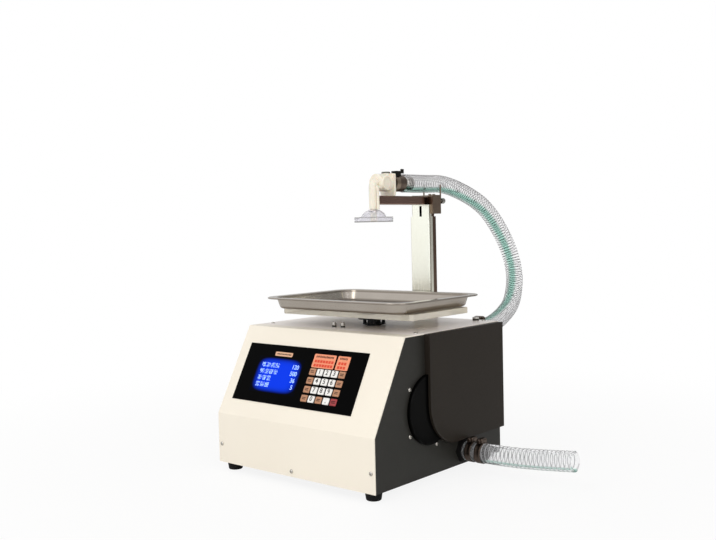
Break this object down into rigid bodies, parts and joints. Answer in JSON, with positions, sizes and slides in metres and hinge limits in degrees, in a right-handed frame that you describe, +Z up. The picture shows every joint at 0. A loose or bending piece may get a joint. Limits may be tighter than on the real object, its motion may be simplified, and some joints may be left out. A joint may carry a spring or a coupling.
{
  "type": "honey filling machine",
  "caption": "Bench machine that pumps honey through a hose to a nozzle above a weighing tray, with a sloped keypad and display panel.",
  "frame": {"origin": "on the table, below the middle of the cabinet", "axes": "+Z up, -Y towards the front panel, +X towards the pump side"},
  "size_m": [0.4785, 0.5006, 0.4405],
  "materials": {
    "cream_paint": "satin",
    "dark_paint": "satin",
    "black_paint": "gloss",
    "grey_paint": "satin",
    "guard_paint": "satin",
    "bracket_paint": "satin",
    "dark_metal": "satin",
    "knob_metal": "satin",
    "rubber": "matte",
    "overlay_black": "gloss",
    "display": "gloss",
    "board": "satin",
    "aluminium": "satin",
    "steel": "brushed",
    "chrome": "polished",
    "black_plastic": "matte",
    "switch_red": "gloss",
    "white_plastic": "gloss",
    "clear_plastic": "clear",
    "hose": "clear with a steel wire",
    "key_orange": "satin",
    "key_white": "satin",
    "key_red": "satin"
  },
  "bodies": {
    "casing": {"base_pan": "dark_paint", "front_top_cover": "cream_paint", "left_side_panel": "dark_paint", "right_side_panel": "dark_paint", "rear_panel": "dark_paint", "rubber_feet": "rubber", "front_overlay": "overlay_black", "display_module": "display", "control_board": "board", "power_supply": "aluminium", "mains_inlet": "black_plastic", "pump_housing": "aluminium", "pump_end_plate": "black_paint", "gear_motor": "grey_paint", "pump_cover": "guard_paint", "suction_port": "steel", "outlet_port": "steel", "suction_hose": "hose", "delivery_hose": "hose", "hose_clamps": "steel", "outer_column": "steel", "load_cell": "aluminium", "load_post": "black_paint", "platform": "clear_plastic", "deck_studs": "chrome", "cabinet_screws": "chrome"},
    "filling_head": {"inner_mast": "steel", "arm": "steel", "arm_bracket": "bracket_paint", "nozzle_elbow": "white_plastic", "bleed_cap": "black_plastic", "inlet_union": "dark_metal", "butterfly_clamp": "steel", "nozzle_tube": "white_plastic", "splash_disc": "clear_plastic"},
    "bracket_knob": {"bracket_knob": "knob_metal"},
    "tray": {"tray": "steel"},
    "drive_gear": {"drive_gear": "steel"},
    "idler_gear": {"idler_gear": "steel"},
    "power_rocker": {"power_switch": "switch_red"},
    "key_1_1": {"key_1_1": "key_orange"},
    "key_1_2": {"key_1_2": "key_white"},
    "key_1_3": {"key_1_3": "key_white"},
    "key_1_4": {"key_1_4": "key_white"},
    "key_1_5": {"key_1_5": "key_orange"},
    "key_2_1": {"key_2_1": "key_orange"},
    "key_2_2": {"key_2_2": "key_white"},
    "key_2_3": {"key_2_3": "key_white"},
    "key_2_4": {"key_2_4": "key_white"},
    "key_2_5": {"key_2_5": "key_orange"},
    "key_3_1": {"key_3_1": "key_orange"},
    "key_3_2": {"key_3_2": "key_white"},
    "key_3_3": {"key_3_3": "key_white"},
    "key_3_4": {"key_3_4": "key_white"},
    "key_3_5": {"key_3_5": "key_orange"},
    "key_4_1": {"key_4_1": "key_orange"},
    "key_4_2": {"key_4_2": "key_white"},
    "key_4_3": {"key_4_3": "key_orange"},
    "key_4_4": {"key_4_4": "key_white"},
    "key_4_5": {"key_4_5": "key_red"}
  },
  "joints": [
    {"name": "mast_slide", "type": "slide", "parent": "casing", "child": "filling_head", "axis": [0, 0, 1], "range_m": [-0.003, 0.08], "deforming": ["delivery_hose"]},
    {"name": "knob_turn", "type": "hinge", "parent": "filling_head", "child": "bracket_knob", "pos_m": [0.036, 0.165, 0.3923], "axis": [0, 1, 0], "continuous": true},
    {"name": "tray_lift", "type": "slide", "parent": "casing", "child": "tray", "axis": [0, 0, 1], "range_m": [0, 0.06]},
    {"name": "drive_spin", "type": "hinge", "parent": "casing", "child": "drive_gear", "pos_m": [0.137, -0.03, 0.08992], "axis": [1, 0, 0], "continuous": true},
    {"name": "idler_spin", "type": "hinge", "parent": "casing", "child": "idler_gear", "pos_m": [0.137, -0.03, 0.11807], "axis": [1, 0, 0], "continuous": true},
    {"name": "power_rock", "type": "hinge", "parent": "casing", "child": "power_rocker", "pos_m": [-0.105, 0.1445, 0.078], "axis": [1, 0, 0], "range_deg": [-20, 0]},
    {"name": "key_1_1_press", "type": "slide", "parent": "casing", "child": "key_1_1", "axis": [0, 0.8763, -0.4818], "range_m": [0, 0.0006], "stiffness_N_per_m": 800},
    {"name": "key_1_2_press", "type": "slide", "parent": "casing", "child": "key_1_2", "axis": [0, 0.8763, -0.4818], "range_m": [0, 0.0006], "stiffness_N_per_m": 800},
    {"name": "key_1_3_press", "type": "slide", "parent": "casing", "child": "key_1_3", "axis": [0, 0.8763, -0.4818], "range_m": [0, 0.0006], "stiffness_N_per_m": 800},
    {"name": "key_1_4_press", "type": "slide", "parent": "casing", "child": "key_1_4", "axis": [0, 0.8763, -0.4818], "range_m": [0, 0.0006], "stiffness_N_per_m": 800},
    {"name": "key_1_5_press", "type": "slide", "parent": "casing", "child": "key_1_5", "axis": [0, 0.8763, -0.4818], "range_m": [0, 0.0006], "stiffness_N_per_m": 800},
    {"name": "key_2_1_press", "type": "slide", "parent": "casing", "child": "key_2_1", "axis": [0, 0.8763, -0.4818], "range_m": [0, 0.0006], "stiffness_N_per_m": 800},
    {"name": "key_2_2_press", "type": "slide", "parent": "casing", "child": "key_2_2", "axis": [0, 0.8763, -0.4818], "range_m": [0, 0.0006], "stiffness_N_per_m": 800},
    {"name": "key_2_3_press", "type": "slide", "parent": "casing", "child": "key_2_3", "axis": [0, 0.8763, -0.4818], "range_m": [0, 0.0006], "stiffness_N_per_m": 800},
    {"name": "key_2_4_press", "type": "slide", "parent": "casing", "child": "key_2_4", "axis": [0, 0.8763, -0.4818], "range_m": [0, 0.0006], "stiffness_N_per_m": 800},
    {"name": "key_2_5_press", "type": "slide", "parent": "casing", "child": "key_2_5", "axis": [0, 0.8763, -0.4818], "range_m": [0, 0.0006], "stiffness_N_per_m": 800},
    {"name": "key_3_1_press", "type": "slide", "parent": "casing", "child": "key_3_1", "axis": [0, 0.8763, -0.4818], "range_m": [0, 0.0006], "stiffness_N_per_m": 800},
    {"name": "key_3_2_press", "type": "slide", "parent": "casing", "child": "key_3_2", "axis": [0, 0.8763, -0.4818], "range_m": [0, 0.0006], "stiffness_N_per_m": 800},
    {"name": "key_3_3_press", "type": "slide", "parent": "casing", "child": "key_3_3", "axis": [0, 0.8763, -0.4818], "range_m": [0, 0.0006], "stiffness_N_per_m": 800},
    {"name": "key_3_4_press", "type": "slide", "parent": "casing", "child": "key_3_4", "axis": [0, 0.8763, -0.4818], "range_m": [0, 0.0006], "stiffness_N_per_m": 800},
    {"name": "key_3_5_press", "type": "slide", "parent": "casing", "child": "key_3_5", "axis": [0, 0.8763, -0.4818], "range_m": [0, 0.0006], "stiffness_N_per_m": 800},
    {"name": "key_4_1_press", "type": "slide", "parent": "casing", "child": "key_4_1", "axis": [0, 0.8763, -0.4818], "range_m": [0, 0.0006], "stiffness_N_per_m": 800},
    {"name": "key_4_2_press", "type": "slide", "parent": "casing", "child": "key_4_2", "axis": [0, 0.8763, -0.4818], "range_m": [0, 0.0006], "stiffness_N_per_m": 800},
    {"name": "key_4_3_press", "type": "slide", "parent": "casing", "child": "key_4_3", "axis": [0, 0.8763, -0.4818], "range_m": [0, 0.0006], "stiffness_N_per_m": 800},
    {"name": "key_4_4_press", "type": "slide", "parent": "casing", "child": "key_4_4", "axis": [0, 0.8763, -0.4818], "range_m": [0, 0.0006], "stiffness_N_per_m": 800},
    {"name": "key_4_5_press", "type": "slide", "parent": "casing", "child": "key_4_5", "axis": [0, 0.8763, -0.4818], "range_m": [0, 0.0006], "stiffness_N_per_m": 800}
  ],
  "couplings": [
    {"joint": "idler_spin", "follows": "drive_spin", "ratio": -1}
  ]
}
